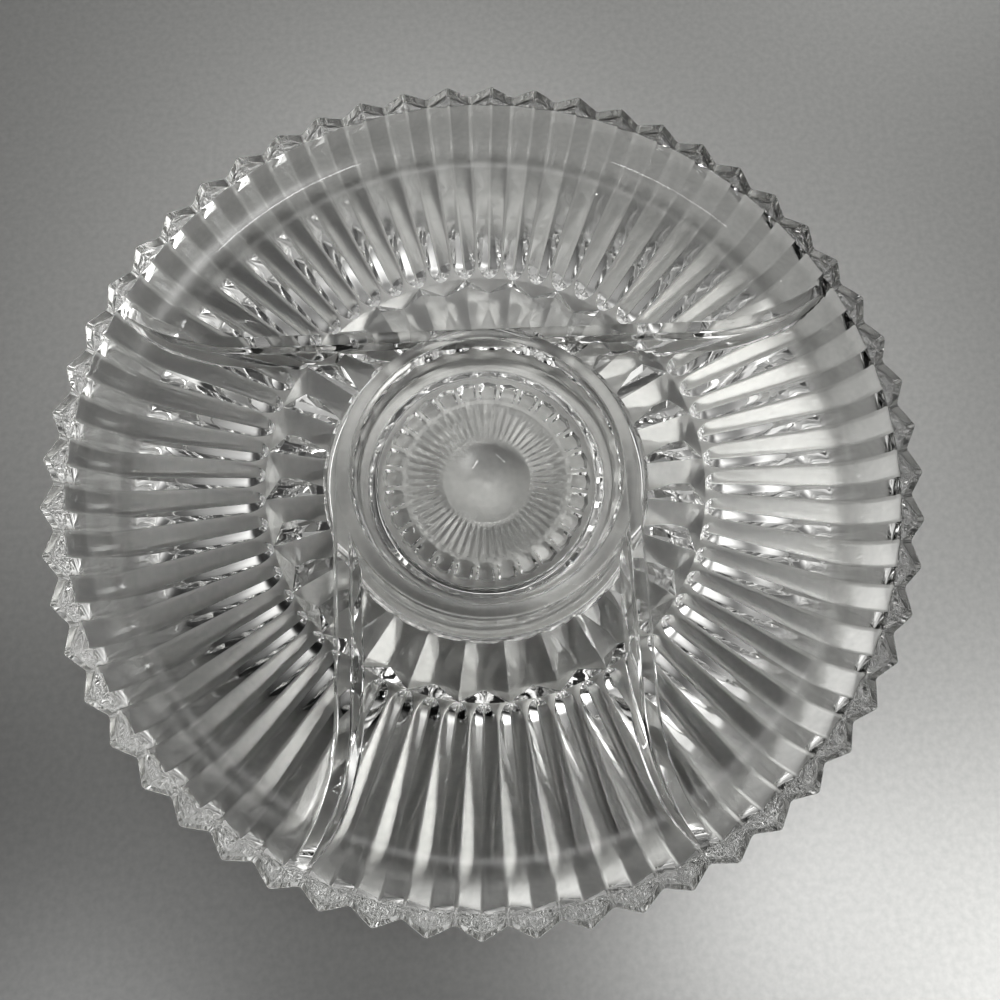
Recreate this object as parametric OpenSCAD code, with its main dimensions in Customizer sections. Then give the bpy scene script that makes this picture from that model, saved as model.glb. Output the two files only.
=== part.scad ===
// Round pressed-glass relish tray: sawtooth rim, five open compartments, ribs and facets underneath.
// Millimetres. The origin is the middle of the foot's underside, +Z is up, and +Y points at the
// widest outer compartment.

/* [Tray] */
// Diameter over the tooth tips
tray_d = 305; // [290:1:320]
// Depth of the compartments below the rim
bowl_depth = 14.5; // [13.5:0.5:17]
// Glass thickness over the grooves between the ribs
glass_t = 4.3; // [3.5:0.1:5.5]
// Radius where the floor turns up into the wall
turn_r = 17; // [13:0.5:18]
// Slope of the wall above the turn
wall_angle = 62; // [56:1:65]

/* [Rim] */
// Number of teeth, and of ribs under them
tooth_count = 56; // [44:4:68]
// How far a tooth stands out in plan
tooth_depth = 4.2; // [3:0.1:5.5]
// Width of the flat rim inside the teeth
rim_w = 4.2; // [3:0.1:6]
// Thickness of the rim
rim_t = 4; // [3:0.1:5]

/* [Ribs] */
// How far a rib stands below its grooves under the floor
rib_depth = 3.7; // [2.5:0.1:4.5]
// Diameter of the circle that the rounded inner rib ends touch
rib_end_d = 160; // [150:1:170]
// Length over which a rib runs out at its inner end
rib_runout = 8; // [5:0.5:12]

/* [Diamond band] */
// Number of kite-shaped studs
kite_count = 28; // [22:1:32]
// How far a stud's ridge stands below the grooves
kite_depth = 4.4; // [2.5:0.1:4.5]
// Radial width of the band
kite_band_w = 21; // [18:0.5:24]

/* [Foot] */
// How far the foot stands below the ribs
foot_drop = 3.5; // [2:0.1:6]
// Inner diameter of the foot's flat underside
foot_in_d = 87; // [84:0.5:96]
// How far the foot's sides lean in to its underside
foot_lean = 1.5; // [0.5:0.1:2]

/* [Walls between compartments] */
// Diameter of the centre ring's middle line
ring_d = 100.6; // [96:0.2:104]
// Width of the walls at the floor
wall_base_w = 9; // [7:0.1:10]
// Width of the walls at their rounded top
wall_top_w = 4.6; // [3.5:0.1:6]
// How far the walls stop below the rim
wall_drop = 2.5; // [1:0.1:4]
// Length of a divider's straight stretch, from the tray's middle line
divider_straight = 80.8; // [70:0.2:88]
// Radius of a divider's bend, at its middle line
divider_bend_r = 84; // [70:0.5:100]
// Where a divider leaves the ring, from the tray's middle line
divider_start = 10; // [8:0.5:14]

/* [Centre] */
// Glass thickness over the pattern of the centre
centre_t = 6.1; // [5:0.1:7]
// Diameter of the patterned centre
centre_d = 80; // [76:0.5:81]
// Number of block facets
block_count = 28; // [22:1:32]
// Radial length of a block facet
block_l = 7.6; // [6:0.1:9]
// How far a block facet stands out
block_h = 1.1; // [0.5:0.1:1.3]
// Inner diameter of the block facets' ring
block_in_d = 60; // [58:0.5:62]
// Number of rays
ray_count = 56; // [44:1:64]
// How far a ray stands out
ray_h = 0.8; // [0.4:0.1:1.2]
// Diameter of the lens
lens_d = 32; // [28:0.5:36]
// Rise of the lens
lens_rise = 3.6; // [0.6:0.1:4]

/* [Hidden] */
$fn = 180;

// Overrun of cuts
over = 2;
// Clearance where the ribbed floor's straight-sided inner edge meets the round band
joint = 0.1;
// How far the sides of ribs, kites, blocks and rays sink into the glass that carries them
sink = 0.3;
// How far their upper sides reach into that glass
bed = 1.8;
// Part of its pitch that one copy of a pattern fills
fill_share = 0.97;
// Steps of the turn between floor and wall, inside and along the ribs outside
turn_steps = 8;
rib_steps = 4;

// Heights
rib_z = foot_drop;
groove_z = rib_z + rib_depth;
floor_z = groove_z + glass_t;
rim_z = floor_z + bowl_depth;
rim_under_z = rim_z - rim_t;
centre_z = floor_z - centre_t;

// Radii
tip_r = tray_d / 2;
root_r = tip_r - tooth_depth;
rim_in_r = root_r - rim_w;
// How far the teeth lean in from the top to the rim's underside, at the wall's own slope
rim_lean = rim_t / tan(wall_angle);
under_share = 1 - rim_lean / root_r;
turn_rise = turn_r * (1 - cos(wall_angle));
floor_edge_r = rim_in_r - turn_r * sin(wall_angle) - (bowl_depth - turn_rise) / tan(wall_angle);
rib_end_r = rib_end_d / 2;
band_in_r = rib_end_r - kite_band_w;
centre_r = centre_d / 2;
block_in_r = block_in_d / 2;
lens_r = lens_d / 2;
ring_r = ring_d / 2;

// Angles of one pattern copy, from its middle to its side
rib_half = 180 / tooth_count * fill_share;
kite_half = 180 / kite_count * fill_share;
block_half = 180 / block_count * fill_share;
ray_half = 180 / ray_count * fill_share;

// A tooth's outline: its share of the pitch, and its share of the tooth's depth, with a rounded tip
tooth_tip_share = 0.985;
tooth_shares = [[-0.5, 0], [-0.43, 0.06], [-0.09, 0.87], [-0.03, tooth_tip_share], [0.03, tooth_tip_share],
    [0.09, 0.87], [0.43, 0.06]];
tooth_r = root_r + tooth_tip_share * tooth_depth;
// Where the first copy of each pattern stands, as a share of its pitch from the middle line
tooth_phase_share = 0.5;
kite_phase_share = 0.75;
block_phase_share = 0.75;
// A rib's run-out: the share of its length, and the share of the full section there
runout_shares = [[0.04, 0.28], [0.2, 0.6], [0.5, 0.87], [1, 1]];
// The ends of a stud's ridge, as shares of the band's width from outside
kite_ridge_shares = [0.22, 0.5];
// The lower corners of a stud's inner end: the share of its half angle and the share of its depth
kite_end_share = 0.5;
// A block facet's flat: the share of its length and width that its slopes leave
block_flat_share = 0.45;
// A ray's ends: the share of the ring's width from inside, and the share of the full section
ray_end_shares = [[0.08, 0.7], [0.92, 1]];

// A point on a circle around the Z axis
function polar(r, a, z) = [r * cos(a), r * sin(a), z];

// A point on an arc around the middle of the turn, as [radius, height]
function turn_point(r, a) = [floor_edge_r + r * sin(a), floor_z + turn_r - r * cos(a)];

// The turn's arc of radius r, from the floor to the wall
function turn_arc(r, steps) = [for (i = [0:steps]) turn_point(r, wall_angle * i / steps)];

// Where the straight wall beyond the arc of radius r reaches height z, as a radius
function wall_r_at(r, z) = let (p = turn_point(r, wall_angle)) p[0] + (z - p[1]) / tan(wall_angle);

// The bowl's inner line from the floor's edge to height z
function inner_line(z) = concat(turn_arc(turn_r, turn_steps), [[wall_r_at(turn_r, z), z]]);

function reversed(list) = [for (i = [len(list) - 1:-1:0]) list[i]];

// Faces of a bar of sections with 5 points each: ridge, right side, right top, left top, left side
function bar_faces(n) = concat(
    [[for (j = [0:4]) j]],
    [for (i = [0:n - 2]) for (j = [0:4])
        let (a = 5 * i + j, b = 5 * i + (j + 1) % 5) each [[a, a + 5, b + 5], [a, b + 5, b]]],
    [[for (j = [4:-1:0]) 5 * (n - 1) + j]]
);

// A 5-point section: ridge radius and height, side radius and height, top radius and height, half angle
function section(ridge, side, top, half) = [
    polar(ridge[0], 0, ridge[1]),
    polar(side[0], half, side[1]),
    polar(top[0], half, top[1]),
    polar(top[0], -half, top[1]),
    polar(side[0], -half, side[1])
];

// A bar through its sections
module bar(sections) {
    points = [for (s = sections) each s];
    polyhedron(points, bar_faces(len(sections)), convexity = 4);
}

// Copies around the tray
module around(count, phase_share) {
    for (i = [0:count - 1]) {
        rotate([0, 0, 90 + (i + phase_share) * 360 / count]) children();
    }
}

// A flat ring between two radii and two heights
module flat_ring(r_in, r_out, z_low, z_high) {
    rotate_extrude() translate([r_in, z_low]) square([r_out - r_in, z_high - z_low]);
}

// The hollow of the bowl, from the floor to the rim
module bowl_space() {
    rotate_extrude() polygon(concat([[0, floor_z]], inner_line(rim_z), [[0, rim_z]]));
}

// The teeth in plan
module tooth_outline() {
    pitch = 360 / tooth_count;
    polygon([for (i = [0:tooth_count - 1]) for (s = tooth_shares)
        let (r = root_r + s[1] * tooth_depth, a = 90 + (i + tooth_phase_share + s[0]) * pitch)
        [r * cos(a), r * sin(a)]]);
}

module sawtooth_rim() {
    color("lightcyan", 0.5)
    difference() {
        translate([0, 0, rim_under_z])
            linear_extrude(rim_t, scale = 1 / under_share) scale(under_share) tooth_outline();
        translate([0, 0, rim_under_z - over])
            cylinder(h = rim_t + 2 * over, r1 = wall_r_at(turn_r, rim_under_z - over),
                r2 = wall_r_at(turn_r, rim_z + over));
    }
}

// A closed ring skinned over lines of points, three to a tooth, one line after another around the tray
module skinned(lines) {
    n = len(lines);
    m = len(lines[0]);
    polyhedron([for (line = lines) each line], [
        for (i = [0:n - 1]) for (j = [0:m - 1])
            let (
                next = (i + 1) % n,
                a = i * m + j,
                b = i * m + (j + 1) % m,
                c = next * m + j,
                d = next * m + (j + 1) % m
            )
            each i % 3 == 0 ? [[a, b, c], [b, d, c]] : [[a, b, d], [a, d, c]]
    ], convexity = 8);
}

// For each tooth, the lines of its left groove, its ridge and its right groove
function tooth_lines(line) = [
    for (i = [0:tooth_count - 1]) for (side = [-1:1])
        let (a = 90 + (i + tooth_phase_share) * 360 / tooth_count)
        [for (q = line(side)) polar(q[0], a + side * q[2] * rib_half, q[1])]
];

// A rib's outline on the wall as [radius, height, share of the half angle], outside first, then inside
function wall_line(side) =
    let (
        groove_r = turn_r + glass_t,
        arc_r = side == 0 ? groove_r + rib_depth : groove_r,
        top_r = under_share * (side == 0 ? tooth_r : root_r),
        chord_k = 1 / cos(rib_half / 2)
    )
    concat(
        [for (q = turn_arc(arc_r, rib_steps)) [q[0], q[1], 1]],
        [[top_r, rim_under_z, 1]],
        [for (q = reversed(inner_line(rim_under_z))) [q[1] > floor_z ? q[0] * chord_k : q[0], q[1], 1]]
    );

module outer_wall() {
    color("azure", 0.5) skinned(tooth_lines(function (side) wall_line(side)));
}

// A rib's outline under the floor, with its rounded run-out at the inner end
function floor_line(side) =
    let (drop = side == 0 ? rib_depth : 0, start_share = runout_shares[0][1], start_r = rib_end_r + joint)
    concat(
        [[start_r, groove_z, start_share]],
        [for (q = runout_shares) [rib_end_r + q[0] * rib_runout, groove_z - q[1] * drop, q[1]]],
        [[floor_edge_r, groove_z - drop, 1], [floor_edge_r, floor_z, 1], [start_r, floor_z, start_share]]
    );

module rib_floor() {
    color("lightcyan", 0.5) skinned(tooth_lines(function (side) floor_line(side)));
}

// One stud: a short ridge with two long flanks, and a slope to each end
module kite() {
    out_r = rib_end_r - over * sink;
    in_r = band_in_r + over * sink;
    ridge_z = groove_z - kite_depth;
    end_z = groove_z - kite_end_share * kite_depth;
    function corners(z) = [polar(out_r, -kite_half, z), polar(out_r, kite_half, z),
        polar(in_r, kite_half, z), polar(in_r, -kite_half, z)];
    ridge = [for (s = kite_ridge_shares) polar(rib_end_r - s * kite_band_w, 0, ridge_z)];
    end = [for (s = [1, -1]) polar(in_r, s * kite_half * kite_end_share, end_z)];
    polyhedron(concat(corners(groove_z + sink), corners(groove_z + bed), ridge, end), concat(
        [[7, 6, 5, 4]],
        [for (i = [0:3]) let (j = (i + 1) % 4) each [[i, 4 + j, j], [i, 4 + i, 4 + j]]],
        [[0, 1, 8], [1, 2, 8], [2, 9, 8], [2, 10, 9], [2, 3, 11], [2, 11, 10], [9, 10, 11], [3, 0, 8], [3, 8, 9],
            [3, 9, 11]]
    ), convexity = 4);
}

module diamond_band() {
    color("azure", 0.5)
    union() {
        flat_ring(band_in_r, rib_end_r, groove_z, floor_z);
        around(kite_count, kite_phase_share) kite();
    }
}

module foot_ring() {
    foot_in_r = foot_in_d / 2;
    color("lightcyan", 0.5)
    rotate_extrude() polygon([
        [centre_r, floor_z],
        [centre_r, centre_z],
        [foot_in_r, 0],
        [band_in_r - foot_lean, 0],
        [band_in_r, groove_z],
        [band_in_r, floor_z]
    ]);
}

// The walls' section: leaning sides and a rounded top, with its foot on the line y = 0
module wall_section() {
    top_r = wall_top_w / 2;
    h = bowl_depth - wall_drop;
    polygon([[-wall_base_w / 2, 0], [wall_base_w / 2, 0], [top_r, h - top_r], [-top_r, h - top_r]]);
    translate([0, h - top_r]) circle(top_r);
}

module ring_wall() {
    translate([0, 0, floor_z]) rotate_extrude() translate([ring_r, 0]) wall_section();
}

module centre_ring() {
    color("azure", 0.5) ring_wall();
}

// A divider's middle line: straight along +X beside the ring, then bending outwards past the rim
module divider_run() {
    reach = tray_d;
    translate([divider_start, ring_r, floor_z]) rotate([90, 0, 90])
        linear_extrude(divider_straight - divider_start) wall_section();
    translate([divider_straight, ring_r + divider_bend_r, floor_z])
    intersection() {
        rotate_extrude() translate([divider_bend_r, 0]) wall_section();
        linear_extrude(bowl_depth) polygon([[0, 0], [0, -reach], [reach, -reach], [reach, -reach / 2]]);
    }
}

module divider() {
    difference() {
        intersection() {
            divider_run();
            bowl_space();
        }
        ring_wall();
    }
}

// One block facet of the centre: a flat with four slopes
module block() {
    side_z = centre_z + sink;
    top_z = centre_z + bed;
    flat_z = centre_z - block_h;
    out_r = block_in_r + block_l;
    slope = block_l * (1 - block_flat_share) / 2;
    function ring4(r0, r1, a, z) = [polar(r0, -a, z), polar(r1, -a, z), polar(r1, a, z), polar(r0, a, z)];
    points = concat(
        ring4(block_in_r + slope, out_r - slope, block_half * block_flat_share, flat_z),
        ring4(block_in_r + sink, out_r, block_half, side_z),
        ring4(block_in_r + sink, out_r, block_half, top_z)
    );
    polyhedron(points, concat(
        [[0, 1, 2, 3]],
        [for (k = [0, 4]) for (i = [0:3]) let (j = (i + 1) % 4) each [[k + i, k + 4 + i, k + 4 + j], [k + i, k + 4 + j, k + j]]],
        [[11, 10, 9, 8]]
    ), convexity = 4);
}

module facet_ring() {
    color("azure", 0.5)
    union() {
        flat_ring(block_in_r, centre_r, centre_z, floor_z);
        around(block_count, block_phase_share) block();
    }
}

// One fine ray between the lens and the block facets
module ray() {
    width = block_in_r - lens_r;
    bar([for (s = ray_end_shares)
        let (r = lens_r + s[0] * width)
        section([r, centre_z - s[1] * ray_h], [r, centre_z + sink], [r, centre_z + bed], ray_half)]);
}

module ray_ring() {
    color("lightcyan", 0.5)
    union() {
        flat_ring(lens_r, block_in_r, centre_z, floor_z);
        around(ray_count, tooth_phase_share) ray();
    }
}

module centre_lens() {
    ball_r = (lens_r * lens_r + lens_rise * lens_rise) / (2 * lens_rise);
    color("azure", 0.5)
    union() {
        translate([0, 0, centre_z]) cylinder(h = centre_t, r = lens_r);
        intersection() {
            translate([0, 0, centre_z - lens_rise + ball_r]) sphere(ball_r);
            translate([0, 0, centre_z - lens_rise]) cylinder(h = lens_rise + sink, r = lens_r);
        }
    }
}

module divider_upper_right() {
    color("paleturquoise", 0.5) divider();
}

module divider_upper_left() {
    color("paleturquoise", 0.5) mirror([1, 0, 0]) divider();
}

module divider_lower_right() {
    color("paleturquoise", 0.5) rotate([0, 0, -90]) divider();
}

module divider_lower_left() {
    color("paleturquoise", 0.5) mirror([1, 0, 0]) rotate([0, 0, -90]) divider();
}

sawtooth_rim();
outer_wall();
rib_floor();
diamond_band();
foot_ring();
centre_ring();
facet_ring();
ray_ring();
centre_lens();
divider_upper_left();
divider_upper_right();
divider_lower_left();
divider_lower_right();
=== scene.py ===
import math

import bmesh
import bpy
import numpy as np
from mathutils import Matrix, Vector
from mathutils.geometry import delaunay_2d_cdt


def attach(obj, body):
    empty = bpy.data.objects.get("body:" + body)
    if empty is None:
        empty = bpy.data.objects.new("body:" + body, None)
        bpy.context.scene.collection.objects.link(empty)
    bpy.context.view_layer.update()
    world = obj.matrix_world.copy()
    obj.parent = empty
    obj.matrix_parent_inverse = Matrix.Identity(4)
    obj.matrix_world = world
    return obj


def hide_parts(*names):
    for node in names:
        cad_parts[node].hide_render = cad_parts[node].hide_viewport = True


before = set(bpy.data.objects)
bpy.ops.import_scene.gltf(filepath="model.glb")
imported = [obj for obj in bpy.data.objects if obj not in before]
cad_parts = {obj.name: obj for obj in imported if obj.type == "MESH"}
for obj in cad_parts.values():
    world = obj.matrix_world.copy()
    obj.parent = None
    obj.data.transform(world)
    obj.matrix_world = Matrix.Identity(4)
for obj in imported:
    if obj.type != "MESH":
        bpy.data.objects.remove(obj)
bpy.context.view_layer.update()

# Sizes in millimetres, the same as the CAD part's

MM = 0.001
FULL_TURN = 2 * math.pi
TEETH = 56
PITCH = FULL_TURN / TEETH
FIRST_TOOTH = math.pi / 2 + PITCH / 2
TIP_R = 152.5
TOOTH_DEPTH = 4.2
RIM_W = 4.2
RIM_Z = 26.0
FLANGE_Z = 22.0
FLOOR_Z = 11.5
GROOVE_Z = 7.2
GLASS_T = 4.3
RIB_DEPTH = 3.7
TURN_R = 17.0
WALL_ANGLE = math.radians(62)
WALL_SLOPE = math.tan(WALL_ANGLE)
ROOT_R = TIP_R - TOOTH_DEPTH
RIM_IN_R = ROOT_R - RIM_W
FLOOR_EDGE_R = (
    RIM_IN_R
    - TURN_R * math.sin(WALL_ANGLE)
    - (RIM_Z - FLOOR_Z - TURN_R * (1 - math.cos(WALL_ANGLE))) / WALL_SLOPE
)
RIB_END_R = 80.0
BAND_IN_R = 59.0
RING_R = 50.3
WALL_BASE = 9.0
WALL_TOP = 4.6
WALL_TOP_Z = 23.5
DIVIDER_STRAIGHT = 80.8
DIVIDER_BEND_R = 84.0
BEND_X = DIVIDER_STRAIGHT
BEND_Y = RING_R + DIVIDER_BEND_R
FOOT_IN_R = 43.5
FOOT_OUT_R = 57.5
CENTRE_R = 40.0
CENTRE_Z = 5.4
BLOCKS = 28
BLOCK_IN_R = 30.0
LENS_R = 16.0
LENS_RISE = 3.6

# The closed surface that the whole tray is built on

WELD_STEPS_PER_MM = 2000


def polar(r, a, z):
    return (r * math.cos(a), r * math.sin(a), z)


def ring_of(r, z, count, start=0.0):
    return [polar(r, start + FULL_TURN * i / count, z) for i in range(count)]


class Skin:
    """Vertices and faces of one closed surface, welded where they meet.

    Faces of one group share a smooth normal.
    """

    def __init__(self):
        self.index = {}
        self.points = []
        self.faces = []
        self.groups = []

    def point(self, p):
        key = tuple(round(c * WELD_STEPS_PER_MM) for c in p)
        if key not in self.index:
            self.index[key] = len(self.points)
            self.points.append(p)
        return self.index[key]

    def face(self, corners, group):
        """Corners are points or numbers of points. A face with corners welded together is dropped."""
        ids = []
        for c in corners:
            i = c if isinstance(c, int) else self.point(c)
            if not ids or ids[-1] != i:
                ids.append(i)
        if len(ids) > 1 and ids[0] == ids[-1]:
            ids.pop()
        if len(set(ids)) == len(ids) and len(ids) > 2:
            self.faces.append(ids)
            self.groups.append(group)

    def strip(self, ring_a, ring_b, group):
        """Faces between two closed rings with as many points."""
        n = len(ring_a)
        a = [self.point(p) for p in ring_a]
        b = [self.point(p) for p in ring_b]
        for i in range(n):
            j = (i + 1) % n
            self.face([a[i], a[j], b[j], b[i]], group)

    def strips(self, rings, group):
        for a, b in zip(rings, rings[1:]):
            self.strip(a, b, group)


skin = Skin()

# Underside: the ribs, from their rounded inner ends under the floor, up the wall to the teeth

RIDGE_ROUND = 0.045
GROOVE_ROUND = 0.04
RIB_FILL = 0.97
FLANK_U = 0.27
RIB_U = [-0.5, -0.5 + GROOVE_ROUND / 2, -0.5 + GROOVE_ROUND, -FLANK_U, -RIDGE_ROUND, -RIDGE_ROUND / 2, 0,
         RIDGE_ROUND / 2, RIDGE_ROUND, FLANK_U, 0.5 - GROOVE_ROUND, 0.5 - GROOVE_ROUND / 2, 0.5]
RIB_RUNOUT = 8.0
RUNOUT_SHARES = (0, 0.015, 0.05, 0.1, 0.17, 0.26, 0.37, 0.5, 0.65, 0.82, 1.0)
FLOOR_STATIONS = 6
TURN_STATIONS = 9
WALL_SHARES = (0.33, 0.66, 1.0)
# The rounded tips end just short of the CAD part's sharp ones
TOOTH_REACH = TOOTH_DEPTH * 0.985
UNDER_SHARE = 1 - (RIM_Z - FLANGE_Z) / WALL_SLOPE / ROOT_R


def rounded_ridge(u, tip, root):
    """Height at share u of a ridge's width, from -0.5 to 0.5, with parabolas at its tip and root."""
    v = 0.5 - abs(u)
    if abs(u) < tip:
        return 1 - tip - root - u * u / tip
    if v < root:
        return v * v / root
    return 2 * v - root


def turn_point(r, a):
    return FLOOR_EDGE_R + r * math.sin(a), FLOOR_Z + TURN_R - r * math.cos(a)


def rib_ring(place, width_share=1.0):
    """One ring of points over all the ribs. place(h) is the radius and height at share h of the depth."""
    ring = []
    for k in range(TEETH):
        middle = FIRST_TOOTH + k * PITCH
        for u in RIB_U:
            h = rounded_ridge(u, RIDGE_ROUND, GROOVE_ROUND) / rounded_ridge(0, RIDGE_ROUND, GROOVE_ROUND)
            r, z = place(h * width_share)
            ring.append(polar(r, middle + u * PITCH * RIB_FILL * width_share, z))
        r, z = place(0)
        ring.append(polar(r, middle + PITCH / 2, z))
    return ring


def floor_place(r):
    return lambda h: (r, GROOVE_Z - RIB_DEPTH * h)


def turn_place(a):
    return lambda h: turn_point(TURN_R + GLASS_T + RIB_DEPTH * h, a)


def wall_place(t):
    """Share t of the way from the end of the turn to the lower side of the teeth."""
    def place(h):
        r, z = turn_place(WALL_ANGLE)(h)
        end_r = (ROOT_R + TOOTH_REACH * h) * UNDER_SHARE
        return r + (end_r - r) * t, z + (FLANGE_Z - z) * t
    return place


stations = []
for t in RUNOUT_SHARES:
    share = math.sqrt(1 - (1 - t) ** 2)
    stations.append(rib_ring(floor_place(RIB_END_R + t * RIB_RUNOUT), share))
for r in np.linspace(RIB_END_R + RIB_RUNOUT, FLOOR_EDGE_R, FLOOR_STATIONS)[1:]:
    stations.append(rib_ring(floor_place(r)))
for a in np.linspace(0, WALL_ANGLE, TURN_STATIONS)[1:]:
    stations.append(rib_ring(turn_place(a)))
for t in WALL_SHARES:
    stations.append(rib_ring(wall_place(t)))
skin.strips(stations, "rib")

# Rim: the leaning teeth with rounded edges, and the flat flange up to the bowl's edge

TOOTH_TIP_ROUND = 0.05
TOOTH_ROOT_ROUND = 0.07
TOOTH_SIDE_Z = (FLANGE_Z + 1.3, FLANGE_Z + 2.6, RIM_Z - 0.6)
# How far in from the tooth, and how far below the top, each ring of the rounded upper edge lies
TOOTH_EDGE = ((0.17, 0.25), (0.25, 0.08), (0.5, 0.0))
FLANGE_IN_R = RIM_IN_R + 0.6


def tooth_ring(inset, z):
    ring = []
    for k in range(TEETH):
        middle = FIRST_TOOTH + k * PITCH
        for u in [c * RIB_FILL for c in RIB_U] + [0.5]:
            out = (rounded_ridge(u, TOOTH_TIP_ROUND, TOOTH_ROOT_ROUND)
                   / (1 - TOOTH_TIP_ROUND - TOOTH_ROOT_ROUND))
            ring.append(polar(ROOT_R + TOOTH_REACH * out - inset, middle + u * PITCH, z))
    return ring


side_rings = [stations[-1]] + [tooth_ring((RIM_Z - z) / WALL_SLOPE, z) for z in TOOTH_SIDE_Z]
skin.strips(side_rings, "rib")
edge_rings = [side_rings[-1]] + [tooth_ring(inset, RIM_Z - drop) for inset, drop in TOOTH_EDGE]
skin.strips(edge_rings, "tooth_edge")
flange_edge = [polar(FLANGE_IN_R, math.atan2(p[1], p[0]), RIM_Z) for p in edge_rings[-1]]
skin.strip(edge_rings[-1], flange_edge, "top")

# Underside: the band of studs, hip-roofed diamonds with valleys between them

# Angle of the first stud and the first block, in their own pitches from the back of the tray
FIRST_PLACE = 0.75
STUD_Z = GROOVE_Z - 4.4
STUD_TOP_OUT_R = 75.3
STUD_TOP_IN_R = 69.4
STUD_INNER_R = 59.5
STUD_INNER_Z = GROOVE_Z - 2.2
STUD_INNER_SHARE = 0.5
VALLEY_OUT_R = 76.6
VALLEY_OUT_Z = GROOVE_Z + 0.8
VALLEY_IN_Z = GROOVE_Z + 0.1
foot_edge = []
for k in range(TEETH // 2):
    middle = math.pi / 2 + (k + FIRST_PLACE) * 2 * PITCH
    top_out = polar(STUD_TOP_OUT_R, middle, STUD_Z)
    top_in = polar(STUD_TOP_IN_R, middle, STUD_Z)
    inner = {}
    for side in (-1, 1):
        valley = middle + side * PITCH
        corner = polar(RIB_END_R, valley, GROOVE_Z)
        valley_out = polar(VALLEY_OUT_R, valley, VALLEY_OUT_Z)
        valley_in = polar(BAND_IN_R, valley, VALLEY_IN_Z)
        inner[side] = polar(STUD_INNER_R, middle + side * STUD_INNER_SHARE * PITCH, STUD_INNER_Z)
        skin.face([corner, valley_out, top_out], f"stud_{k}_notch_{side}")
        skin.face([valley_out, top_out, top_in, inner[side], valley_in], f"stud_{k}_side_{side}")
    arc = [polar(RIB_END_R, middle + quarter * PITCH / 2, GROOVE_Z) for quarter in (-2, -1, 0, 1, 2)]
    for p, q in zip(arc, arc[1:]):
        skin.face([p, q, top_out], f"stud_{k}_outer")
    skin.face([top_in, inner[-1], inner[1]], f"stud_{k}_inner")
    foot_edge += [polar(BAND_IN_R, middle - PITCH, VALLEY_IN_Z), inner[-1], inner[1]]

# Underside: the foot and the recess inside it, one turned profile from the outside in

FOOT_POINTS = 224
FOOT_PROFILE = (
    (BAND_IN_R - 0.55, GROOVE_Z - 2.9),
    (FOOT_OUT_R + 0.4, 1.6),
    (FOOT_OUT_R - 0.1, 0.5),
    (FOOT_OUT_R - 0.9, 0.0),
    (FOOT_IN_R + 0.8, 0.0),
    (FOOT_IN_R - 0.1, 0.45),
    (FOOT_IN_R - 0.7, 1.3),
    (CENTRE_R + 0.5, CENTRE_Z - 0.7),
    (CENTRE_R - 0.3, CENTRE_Z),
)
ANGLE_SLACK = 1e-9
NEVER = 1e9


def angles_along(ring):
    """The angle of each point of a ring, rising from the first one."""
    angles = []
    for p in ring:
        a = math.atan2(p[1], p[0])
        while angles and a < angles[-1] - ANGLE_SLACK:
            a += FULL_TURN
        angles.append(a)
    return angles


def join(ring_a, ring_b, group):
    """Faces between two rings with different numbers of points, both in order around the tray."""
    a = [skin.point(p) for p in ring_a]
    b = [skin.point(p) for p in ring_b]
    angle_a = angles_along(ring_a)
    angle_b = angles_along(ring_b)
    turns = round((angle_a[0] - angle_b[0]) / FULL_TURN)
    angle_b = [t + turns * FULL_TURN for t in angle_b]

    def apart(i):
        return abs((angle_b[i] - angle_a[0] + math.pi) % FULL_TURN - math.pi)

    start = min(range(len(b)), key=apart)
    b = b[start:] + b[:start]
    angle_b = angle_b[start:] + [t + FULL_TURN for t in angle_b[:start]]
    while angle_b[0] > angle_a[0] + math.pi:
        angle_b = [t - FULL_TURN for t in angle_b]
    while angle_b[0] < angle_a[0] - math.pi:
        angle_b = [t + FULL_TURN for t in angle_b]
    na, nb = len(a), len(b)
    angle_a += [angle_a[0] + FULL_TURN, NEVER]
    angle_b += [angle_b[0] + FULL_TURN, NEVER]
    i = j = 0
    while i < na or j < nb:
        if j >= nb or (i < na and angle_a[i + 1] <= angle_b[j + 1]):
            skin.face([a[i % na], a[(i + 1) % na], b[j % nb]], group)
            i += 1
        else:
            skin.face([a[i % na], b[(j + 1) % nb], b[j % nb]], group)
            j += 1


foot_rings = [ring_of(r, z, FOOT_POINTS, FIRST_TOOTH) for r, z in FOOT_PROFILE]
join(foot_edge, foot_rings[0], "foot_top")
skin.strips(foot_rings, "foot")

# Underside of the centre: tilted block facets, deeper at their outer end, and the bars between them

BLOCK_PITCH = FULL_TURN / BLOCKS
BLOCK_HALF = BLOCK_PITCH / 2
BLOCK_TIP_R = 38.0
BLOCK_OUT_R = 37.1
BLOCK_MID_R = 34.2
BLOCK_INNER_R = BLOCK_IN_R + 1.0
BLOCK_NOSE_R = BLOCK_IN_R + 0.6
BLOCK_FILL = 0.84
BLOCK_IN_FILL = 0.8
DECK_TIP_R = 36.8
DECK_OUT_R = 36.3
DECK_INNER_R = 31.6
DECK_NOSE_R = 31.4
DECK_OUT_FILL = 0.6
DECK_FILL = 0.64
DECK_IN_DEPTH = 0.2
DECK_OUT_DEPTH = 2.6
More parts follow.
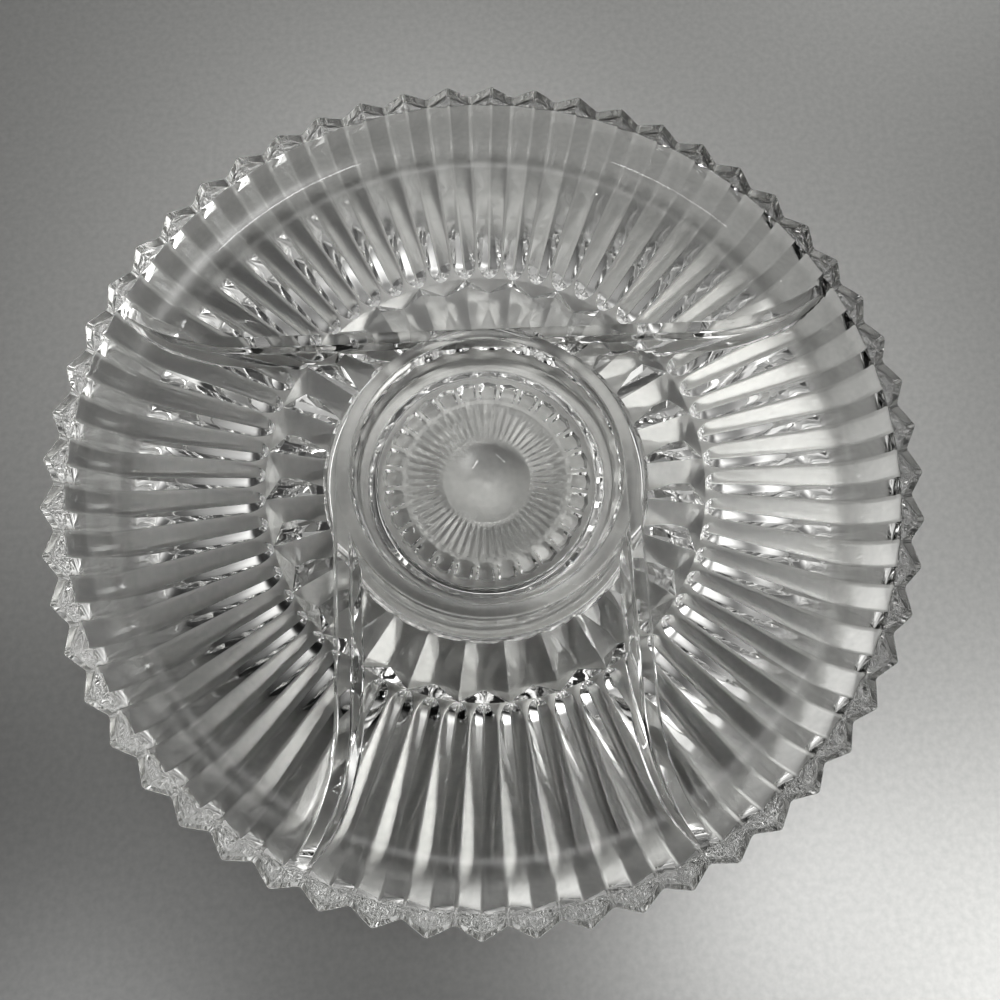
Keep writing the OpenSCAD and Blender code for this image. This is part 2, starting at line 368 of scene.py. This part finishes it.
# Radius, and place across as a share of half a block's pitch, of a block's foot and of its deck
BLOCK_FOOT = (
    (BLOCK_OUT_R, -BLOCK_FILL),
    (BLOCK_TIP_R, 0),
    (BLOCK_OUT_R, BLOCK_FILL),
    (BLOCK_MID_R, BLOCK_FILL),
    (BLOCK_INNER_R, BLOCK_IN_FILL),
    (BLOCK_NOSE_R, 0),
    (BLOCK_INNER_R, -BLOCK_IN_FILL),
    (BLOCK_MID_R, -BLOCK_FILL),
)
BLOCK_DECK = (
    (DECK_OUT_R, -DECK_OUT_FILL),
    (DECK_TIP_R, 0),
    (DECK_OUT_R, DECK_OUT_FILL),
    (BLOCK_MID_R, DECK_FILL),
    (DECK_INNER_R, DECK_FILL),
    (DECK_NOSE_R, 0),
    (DECK_INNER_R, -DECK_FILL),
    (BLOCK_MID_R, -DECK_FILL),
)
# The group of each side face; faces of one group are shaded as one
BLOCK_SIDES = ("outer", "outer", "side_1", "inner_1", "inner_1", "inner_2", "inner_2", "side_2")


def deck_z(r, share):
    along = r * math.cos(share * BLOCK_HALF)
    fall = (along - DECK_NOSE_R) / (DECK_TIP_R - DECK_NOSE_R)
    return CENTRE_Z - DECK_IN_DEPTH - (DECK_OUT_DEPTH - DECK_IN_DEPTH) * fall


edge_out = []
edge_in = []
for k in range(BLOCKS):
    middle = math.pi / 2 + (k + FIRST_PLACE) * BLOCK_PITCH
    foot = [polar(r, middle + share * BLOCK_HALF, CENTRE_Z) for r, share in BLOCK_FOOT]
    deck = [polar(r, middle + share * BLOCK_HALF, deck_z(r, share)) for r, share in BLOCK_DECK]
    for i, side in enumerate(BLOCK_SIDES):
        j = (i + 1) % len(BLOCK_SIDES)
        skin.face([foot[i], foot[j], deck[j], deck[i]], f"block_{k}_{side}")
    skin.face(deck, f"block_{k}_deck")
    next_out = polar(BLOCK_OUT_R, middle + (2 - BLOCK_FILL) * BLOCK_HALF, CENTRE_Z)
    next_mid = polar(BLOCK_MID_R, middle + (2 - BLOCK_FILL) * BLOCK_HALF, CENTRE_Z)
    next_in = polar(BLOCK_INNER_R, middle + (2 - BLOCK_IN_FILL) * BLOCK_HALF, CENTRE_Z)
    skin.face([foot[2], next_out, next_mid, foot[3]], "centre_flat")
    skin.face([foot[3], next_mid, next_in, foot[4]], "centre_flat")
    edge_out += [foot[0], foot[1], foot[2]]
    edge_in += [foot[6], foot[5], foot[4]]
join(foot_rings[-1], edge_out, "centre_flat")

# Underside of the centre: the rays and the lens

RAY_DEPTH = 0.8
RAY_U = (-0.5, -0.44, -0.06, 0.0, 0.06, 0.44)
# Radius and share of the rays' full depth of each ring, from the outside in
RAY_RINGS = ((BLOCK_IN_R - 0.6, 0.0), (29.0, 0.6), (28.2, 0.95), (24.0, 1.0), (20.0, 0.95), (17.6, 0.75),
             (LENS_R + 0.6, 0.3), (LENS_R, 0.0))
LENS_SHARES = (0.97, 0.9, 0.8, 0.68, 0.55, 0.42, 0.3, 0.18, 0.08)


def ray_ring(r, share):
    """One ring of points over all the rays, one ray to each tooth."""
    ring = []
    for k in range(TEETH):
        middle = FIRST_TOOTH + k * PITCH
        for u in RAY_U:
            h = 1 - abs(u) * 2
            ring.append(polar(r, middle + u * PITCH, CENTRE_Z - RAY_DEPTH * share * h))
    return ring


ray_rings = [ray_ring(r, share) for r, share in RAY_RINGS]
join(edge_in, ray_rings[0], "centre_flat")
skin.strips(ray_rings, "ray")
lens_rings = [ray_rings[-1]]
for t in LENS_SHARES:
    z = CENTRE_Z - LENS_RISE * (1 - t * t)
    lens_rings.append([polar(LENS_R * t, math.atan2(p[1], p[0]), z) for p in ray_rings[-1]])
skin.strips(lens_rings, "lens")
centre_point = (0.0, 0.0, CENTRE_Z - LENS_RISE)
last_ring = lens_rings[-1]
for p, q in zip(last_ring, last_ring[1:] + last_ring[:1]):
    skin.face([p, q, centre_point], "lens")

# Upper side: one smooth height over the plan, the bowl with the ring and the dividers blended into it

FILLET = 0.8
WALL_EDGE = 2.2
WALL_CROWN = 0.8
EDGE_ROUND = 1.0
WALL_BLEND = 1.0
FAR_AWAY = 1e3
FLANGE_SLACK = 0.01


def smooth_max(a, b, k):
    h = np.clip(0.5 + 0.5 * (a - b) / k, 0, 1)
    return a * h + b * (1 - h) + k * h * (1 - h)


def bowl_height(r):
    end_r, end_z = turn_point(TURN_R, WALL_ANGLE)
    reach = np.clip(r - FLOOR_EDGE_R, 0, TURN_R * math.sin(WALL_ANGLE))
    turn = FLOOR_Z + TURN_R - np.sqrt(TURN_R ** 2 - reach ** 2)
    wall = end_z + (r - end_r) * WALL_SLOPE
    z = np.where(r < end_r, turn, wall)
    return -smooth_max(-z, -RIM_Z + 0 * z, EDGE_ROUND)


def wall_height(d):
    """Height of a wall at distance d from its middle line: leaning sides and a slightly crowned top."""
    slope = (WALL_TOP_Z - FLOOR_Z) / ((WALL_BASE - WALL_TOP) / 2)
    side = FLOOR_Z + (WALL_BASE / 2 - d) * slope
    top = WALL_TOP_Z - WALL_CROWN * (np.minimum(d, WALL_TOP) / WALL_TOP) ** 2
    return -smooth_max(-side, -top, WALL_EDGE)


def divider_distance(x, y):
    """Distance from the middle line of the upper right divider."""
    straight = np.where(x < 0, np.hypot(x, y - RING_R), np.abs(y - RING_R))
    bend = np.abs(np.hypot(x - BEND_X, y - BEND_Y) - DIVIDER_BEND_R)
    return np.where(x > DIVIDER_STRAIGHT, np.where(y < BEND_Y, bend, FAR_AWAY), straight)


def height(x, y):
    r = np.hypot(x, y)
    walls = wall_height(np.abs(r - RING_R))
    # Each divider is seen as if it were the upper right one
    for seen_x, seen_y in ((x, y), (-x, y), (-y, x), (-y, -x)):
        walls = smooth_max(walls, wall_height(divider_distance(seen_x, seen_y)), WALL_BLEND)
    return np.where(r > FLANGE_IN_R - FLANGE_SLACK, RIM_Z, smooth_max(bowl_height(r), walls, FILLET))


# Lines that the upper side's triangles follow, denser where the surface bends

RIM_STEPS = (0.35, 0.15, 0, -0.15, -0.35, -0.6)
RIM_POINTS = 448
WALL_RINGS = 4
BOWL_POINTS = 336
WALL_STEPS = (0, 0.7, 1.3, 1.8, 2.15, 2.45, 2.8, 3.2, 3.6, 4.0, 4.5, 5.2, 6.4)
RING_POINTS = 224
DIVIDER_START = 0.01
DIVIDER_STEP = 2.6
BEND_STEP = 2.4
DIVIDER_END_R = RIM_IN_R - 0.9
# First and last radius and step between the rings on the centre's floor and on the outer floor
CENTRE_RINGS = (4, RING_R - 7, 4.5)
CENTRE_SPACING = 4.5
CENTRE_LEAST = 16
OUTER_RINGS = (RING_R + 8.5, FLOOR_EDGE_R - 1, 5.0)
OUTER_SPACING = 4.8
CDT_SLACK = 1e-5
flat_points = [Vector(p[:2]) for p in flange_edge]
flat_edges = [(i, (i + 1) % len(flat_points)) for i in range(len(flat_points))]


def add_line(points, closed=False):
    first = len(flat_points)
    flat_points.extend(Vector(p) for p in points)
    n = len(points)
    flat_edges.extend((first + i, first + (i + 1) % n) for i in range(n if closed else n - 1))


def circle(r, count, start=0.0):
    add_line([p[:2] for p in ring_of(r, 0, count, start)], True)


def divider_line(d):
    """A line at distance d from the middle line of the upper right divider."""
    line = [(x, RING_R + d) for x in np.arange(DIVIDER_START, DIVIDER_STRAIGHT, DIVIDER_STEP)]
    bend_r = DIVIDER_BEND_R - d
    for a in np.arange(-math.pi / 2, 0, BEND_STEP / DIVIDER_BEND_R):
        p = (BEND_X + bend_r * math.cos(a), BEND_Y + bend_r * math.sin(a))
        if math.hypot(*p) > DIVIDER_END_R:
            break
        line.append(p)
    return line


for step in RIM_STEPS:
    circle(RIM_IN_R + step, RIM_POINTS)
turn_end_r = turn_point(TURN_R, WALL_ANGLE)[0]
for r in np.linspace(RIM_IN_R + RIM_STEPS[-1], turn_end_r, WALL_RINGS)[1:]:
    circle(r, BOWL_POINTS)
for a in np.linspace(WALL_ANGLE, 0, TURN_STATIONS)[1:]:
    circle(turn_point(TURN_R, a)[0], BOWL_POINTS)
for step in WALL_STEPS:
    for d in ((step, -step) if step else (0,)):
        circle(RING_R + d, RING_POINTS)
        line = divider_line(d)
        add_line(line)
        add_line([(-x, y) for x, y in line])
        add_line([(y, -x) for x, y in line])
        add_line([(-y, -x) for x, y in line])
for r in np.arange(*CENTRE_RINGS):
    circle(r, max(CENTRE_LEAST, int(FULL_TURN * r / CENTRE_SPACING)), r)
for r in np.arange(*OUTER_RINGS):
    circle(r, int(FULL_TURN * r / OUTER_SPACING), r)

plan, _, plan_faces, origin, _, _ = delaunay_2d_cdt(flat_points, flat_edges, [], 0, CDT_SLACK)
plan = np.array([(p.x, p.y) for p in plan], dtype=float)
plan_z = height(plan[:, 0], plan[:, 1])
rim_ids = [skin.point(p) for p in flange_edge]
top_ids = []
for (x, y), z, source in zip(plan, plan_z, origin):
    on_rim = [s for s in source if s < len(rim_ids)]
    if on_rim:
        top_ids.append(rim_ids[on_rim[0]])
    else:
        skin.points.append((x, y, float(z)))
        top_ids.append(len(skin.points) - 1)
for corners in plan_faces:
    skin.face([top_ids[i] for i in corners], "bowl")

# One closed mesh, with its shading normals: exact ones above, smoothed within each group below

NORMAL_STEP = 0.02
FLAT_TOP_R = FLANGE_IN_R - 0.3
mesh = bpy.data.meshes.new("glass_tray")
mesh.from_pydata([tuple(c * MM for c in p) for p in skin.points], [], skin.faces)
bm = bmesh.new()
bm.from_mesh(mesh)
bmesh.ops.recalc_face_normals(bm, faces=bm.faces)
bm.to_mesh(mesh)
print("open edges", sum(1 for e in bm.edges if len(e.link_faces) != 2))
bm.free()


def read(items, name, width, kind=float):
    """One array of a mesh attribute, with a row of the given width for each item."""
    values = np.empty(len(items) * width, dtype=kind)
    items.foreach_get(name, values)
    return values.reshape(-1, width) if width > 1 else values


loop_vert = read(mesh.loops, "vertex_index", 1, np.int32)
coords = read(mesh.vertices, "co", 3) / MM
face_normal = read(mesh.polygons, "normal", 3)
face_area = read(mesh.polygons, "area", 1)
loop_face = np.repeat(np.arange(len(mesh.polygons)), read(mesh.polygons, "loop_total", 1, np.int32))
group_names, face_group = np.unique(skin.groups, return_inverse=True)
key = face_group[loop_face] * len(coords) + loop_vert
unique, inverse = np.unique(key, return_inverse=True)
summed = np.zeros((len(unique), 3))
np.add.at(summed, inverse, face_normal[loop_face] * face_area[loop_face][:, None])
normals = summed[inverse]
x, y = coords[:, 0], coords[:, 1]
slope_x = (height(x + NORMAL_STEP, y) - height(x - NORMAL_STEP, y)) / (2 * NORMAL_STEP)
slope_y = (height(x, y + NORMAL_STEP) - height(x, y - NORMAL_STEP)) / (2 * NORMAL_STEP)
exact = np.stack([-slope_x, -slope_y, np.ones(len(x))], axis=1)
on_bowl = group_names[face_group[loop_face]] == "bowl"
normals[on_bowl] = exact[loop_vert[on_bowl]]
normals[on_bowl & (np.hypot(x, y)[loop_vert] > FLAT_TOP_R)] = (0, 0, 1)
normals /= np.linalg.norm(normals, axis=1)[:, None]
mesh.normals_split_custom_set([tuple(n) for n in normals])

tray = bpy.data.objects.new("glass_tray", mesh)
bpy.context.collection.objects.link(tray)

# Glass: clear, with a faint tint that varies and a slight mould waviness

GLASS_IOR = 1.5
TINT_A = (0.965, 0.965, 0.95, 1)
TINT_B = (0.99, 0.99, 0.982, 1)
GLASS_DETAIL = 2.0
TINT_SCALE = 14.0
WAVE_SCALE = 90.0
WAVE_STRENGTH = 0.06
WAVE_DEPTH = 0.0006


def procedural_material(name):
    material = bpy.data.materials.new(name)
    material.use_nodes = True
    return material, material.node_tree.nodes["Principled BSDF"]


def noise(material, scale, detail):
    nodes, links = material.node_tree.nodes, material.node_tree.links
    node = nodes.new("ShaderNodeTexNoise")
    node.inputs["Scale"].default_value = scale
    node.inputs["Detail"].default_value = detail
    links.new(nodes.new("ShaderNodeTexCoord").outputs["Object"], node.inputs["Vector"])
    return node.outputs["Fac"]


def colour_ramp(material, shader, factor, colours, ends=(0.0, 1.0)):
    ramp = material.node_tree.nodes.new("ShaderNodeValToRGB")
    for element, colour, end in zip(ramp.color_ramp.elements, colours, ends):
        element.position = end
        element.color = colour
    material.node_tree.links.new(factor, ramp.inputs["Fac"])
    material.node_tree.links.new(ramp.outputs["Color"], shader.inputs["Base Color"])


glass, shader = procedural_material("clear_pressed_glass")
shader.inputs["Transmission Weight"].default_value = 1.0
shader.inputs["IOR"].default_value = GLASS_IOR
shader.inputs["Roughness"].default_value = 0.0
colour_ramp(glass, shader, noise(glass, TINT_SCALE, GLASS_DETAIL), (TINT_A, TINT_B))
bump = glass.node_tree.nodes.new("ShaderNodeBump")
bump.inputs["Strength"].default_value = WAVE_STRENGTH
bump.inputs["Distance"].default_value = WAVE_DEPTH
glass.node_tree.links.new(noise(glass, WAVE_SCALE, GLASS_DETAIL), bump.inputs["Height"])
glass.node_tree.links.new(bump.outputs["Normal"], shader.inputs["Normal"])
mesh.materials.append(glass)

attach(tray, "root")
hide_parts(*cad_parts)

# Floor: a satin grey sheet with a fine speckle, just under the foot

FLOOR_HALF = 3.0
FLOOR_TOP = -0.00012
FLOOR_ROUGHNESS = 0.35
FLOOR_METALLIC = 0.9
SPECK_DETAIL = 4.0
SPECK_SCALE = 420.0
SPECK_A = (0.4464, 0.4464, 0.4416, 1)
SPECK_B = (0.5136, 0.5136, 0.504, 1)
SPECK_ENDS = (0.3, 0.7)
FLOOR_CORNERS = ((-1, -1), (1, -1), (1, 1), (-1, 1))
floor_mesh = bpy.data.meshes.new("floor")
corners = [(x * FLOOR_HALF, y * FLOOR_HALF, FLOOR_TOP) for x, y in FLOOR_CORNERS]
floor_mesh.from_pydata(corners, [], [(0, 1, 2, 3)])
floor = bpy.data.objects.new("floor", floor_mesh)
bpy.context.collection.objects.link(floor)
grey, shader = procedural_material("pale_floor")
shader.inputs["Roughness"].default_value = FLOOR_ROUGHNESS
shader.inputs["Metallic"].default_value = FLOOR_METALLIC
colour_ramp(grey, shader, noise(grey, SPECK_SCALE, SPECK_DETAIL), (SPECK_A, SPECK_B), SPECK_ENDS)
floor_mesh.materials.append(grey)

# Lamps, aimed at the tray's middle: azimuth and elevation in degrees, width and height in m, power in W

LAMP_DISTANCE = 1.3
LAMPS = (
    ("right_lamp", -38, 65, 0.4, 0.055, 0.8),
    ("left_lamp", -137, 56, 0.4, 0.03, 0.45),
)


def toward(azimuth, elevation):
    a, e = math.radians(azimuth), math.radians(elevation)
    return Vector((math.cos(e) * math.cos(a), math.cos(e) * math.sin(a), math.sin(e)))


for name, azimuth, elevation, width, depth, power in LAMPS:
    light = bpy.data.lights.new(name, "AREA")
    light.shape = "RECTANGLE"
    light.size = width
    light.size_y = depth
    light.energy = power
    lamp = bpy.data.objects.new(name, light)
    lamp.location = toward(azimuth, elevation) * LAMP_DISTANCE
    lamp.rotation_euler = (-lamp.location).to_track_quat("-Z", "Y").to_euler()
    bpy.context.collection.objects.link(lamp)

# Studio: soft round glows on dark walls and ceiling. A high focus makes a glow small

WIDE, MEDIUM, NARROW = 19.4, 40, 80
# Azimuth and elevation in degrees, peak brightness and focus of each glow
STUDIO_GLOWS = (
    (335, 50, 4.62, MEDIUM),
    (20, 10, 1.02, WIDE),
    (90, 65, 2.6, NARROW),
    (80, 10, 0.764, WIDE),
    (315, 50, 2.52, NARROW),
    (40, 65, 1.76, NARROW),
    (110, 50, 0.367, WIDE),
    (60, 35, 1.26, NARROW),
    (45, 30, 0.204, WIDE),
    (140, 65, 1.01, NARROW),
    (290, 50, 0.122, WIDE),
)
GLOW_COLOUR = (1.0, 1.0, 0.985, 1)
BACKDROP_GREY = (0.3, 0.3, 0.3, 1)
world = bpy.data.worlds.new("studio")
bpy.context.scene.world = world
world.use_nodes = True
nodes, links = world.node_tree.nodes, world.node_tree.links
direction = nodes.new("ShaderNodeTexCoord").outputs["Generated"]


def math_node(operation, first, second):
    node = nodes.new("ShaderNodeMath")
    node.operation = operation
    for socket, value in zip(node.inputs, (first, second)):
        if isinstance(value, (int, float)):
            socket.default_value = value
        else:
            links.new(value, socket)
    return node.outputs[0]


def glow(azimuth, elevation, peak, focus):
    dot = nodes.new("ShaderNodeVectorMath")
    dot.operation = "DOT_PRODUCT"
    dot.inputs[1].default_value = toward(azimuth, elevation)
    links.new(direction, dot.inputs[0])
    away = math_node("MULTIPLY", math_node("SUBTRACT", dot.outputs["Value"], 1.0), focus)
    return math_node("MULTIPLY", math_node("EXPONENT", away, 0.0), peak)


brightness = glow(*STUDIO_GLOWS[0])
for patch in STUDIO_GLOWS[1:]:
    brightness = math_node("ADD", brightness, glow(*patch))
sky = nodes["Background"]
sky.inputs["Color"].default_value = GLOW_COLOUR
links.new(brightness, sky.inputs["Strength"])

# The horizon behind the tray, as the camera sees it from the side, is a plain grey that lights nothing
backdrop = nodes.new("ShaderNodeBackground")
backdrop.inputs["Color"].default_value = BACKDROP_GREY
seen = nodes.new("ShaderNodeMixShader")
links.new(nodes.new("ShaderNodeLightPath").outputs["Is Camera Ray"], seen.inputs[0])
links.new(sky.outputs["Background"], seen.inputs[1])
links.new(backdrop.outputs["Background"], seen.inputs[2])
links.new(seen.outputs["Shader"], nodes["World Output"].inputs["Surface"])

# Camera, at the photograph's place, in metres, with its lens in millimetres

CAMERA_PLACE = (-0.00743, -0.09243, 0.3405)
CAMERA_RIGHT = (0.99854, -0.04866, 0.02349)
CAMERA_UP = (0.04136, 0.96804, 0.24734)
CAMERA_BACK = (-0.03478, -0.24601, 0.96864)
SENSOR = 36.0
FOCAL = 34.05
CLIP_START = 0.01
camera_data = bpy.data.cameras.new("camera")
camera_data.sensor_width = SENSOR
camera_data.lens = FOCAL
camera_data.clip_start = CLIP_START
camera = bpy.data.objects.new("camera", camera_data)
turn = Matrix((CAMERA_RIGHT, CAMERA_UP, CAMERA_BACK)).transposed().to_4x4()
camera.matrix_world = Matrix.Translation(CAMERA_PLACE) @ turn
bpy.context.collection.objects.link(camera)
bpy.context.scene.camera = camera

# Light passes many surfaces in cut glass, so the paths are long

GLASS_BOUNCES = 24
GLOSSY_BOUNCES = 16
paths = bpy.context.scene.cycles
paths.max_bounces = GLASS_BOUNCES
paths.transmission_bounces = GLASS_BOUNCES
paths.glossy_bounces = GLOSSY_BOUNCES
paths.blur_glossy = 0.0
bpy.context.scene.view_settings.view_transform = "Standard"
